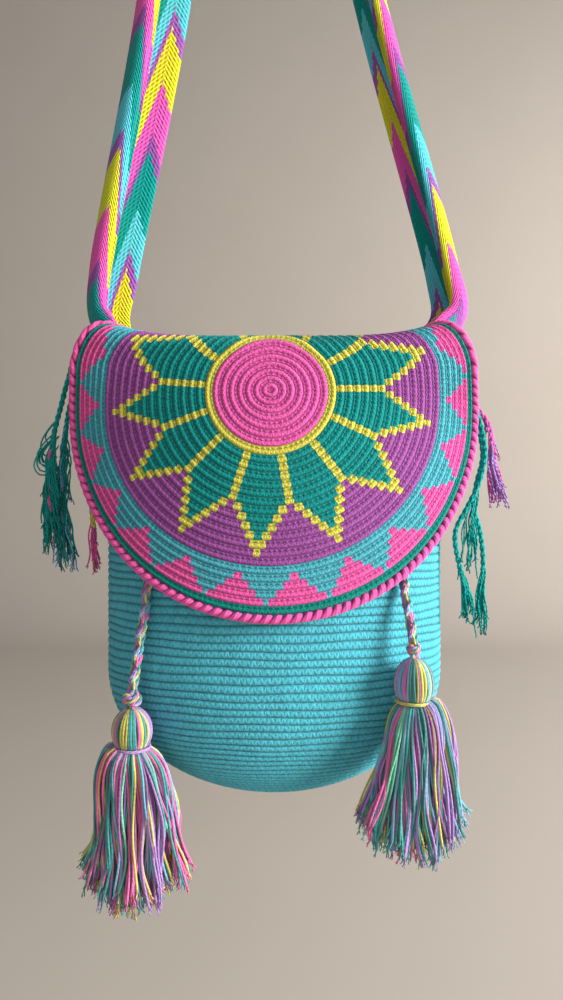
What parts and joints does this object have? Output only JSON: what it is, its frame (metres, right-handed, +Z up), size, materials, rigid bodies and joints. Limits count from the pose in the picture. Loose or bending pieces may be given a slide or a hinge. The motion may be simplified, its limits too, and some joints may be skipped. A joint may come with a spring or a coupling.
{
  "type": "crocheted drawstring shoulder bag",
  "caption": "Crocheted oval shoulder bag with a round patterned flap over its mouth, a woven strap, a drawstring through rim eyelets ending in yarn tassels, and loose fringe cords.",
  "frame": {"origin": "the hanging point, on the inside of the strap's top bend", "axes": "+Z up, the bag hangs below the origin; -Y is the front with the flap and tassels; +X is to the right seen from the front"},
  "size_m": [0.2844, 0.1304, 0.8608],
  "materials": {
    "body_yarn": "crocheted turquoise cotton in ridged rows",
    "flap_yarn": "crocheted cotton in rounds with a coloured petal and triangle pattern",
    "edging_yarn": "pink scalloped crochet border",
    "strap_band": "woven band with long slanting colour stripes",
    "cord_braid": "braided multicolour cotton cord",
    "tassel_yarn": "mixed loose cotton yarn",
    "binding_thread": "yellow and orange wound thread",
    "fringe_cord": "twisted cotton cord with frayed ends",
    "seam_thread": "sewn cotton stitches"
  },
  "bodies": {
    "bag": {"bag_body": "body_yarn", "strap": "strap_band", "drawstring": "cord_braid", "flap_seam": "seam_thread", "left_strap_seam": "seam_thread", "right_strap_seam": "seam_thread", "left_drawstring": "cord_braid", "right_drawstring": "cord_braid", "left_fringe_front": "fringe_cord", "left_fringe_middle": "fringe_cord", "left_fringe_back": "fringe_cord", "right_fringe_front": "fringe_cord", "right_fringe_middle": "fringe_cord", "right_fringe_back": "fringe_cord"},
    "flap": {"flap": "flap_yarn", "flap_edging": "edging_yarn"},
    "left_tassel": {"left_drawstring_end": "cord_braid", "left_tassel_knot": "cord_braid", "left_tassel": "tassel_yarn", "left_tassel_binding": "binding_thread"},
    "right_tassel": {"right_drawstring_end": "cord_braid", "right_tassel_knot": "cord_braid", "right_tassel": "tassel_yarn", "right_tassel_binding": "binding_thread"}
  },
  "joints": [
    {"name": "flap_hinge", "type": "hinge", "parent": "bag", "child": "flap", "pos_m": [0.0185, 0.045, -0.529], "axis": [-1, 0, 0], "range_deg": [0, 30]},
    {"name": "left_tassel_swing", "type": "hinge", "parent": "bag", "child": "left_tassel", "pos_m": [-0.0545, -0.0453, -0.67], "axis": [-1, 0, 0], "range_deg": [0, 80]},
    {"name": "right_tassel_swing", "type": "hinge", "parent": "bag", "child": "right_tassel", "pos_m": [0.0935, -0.0453, -0.665], "axis": [-1, 0, 0], "range_deg": [0, 80]}
  ]
}
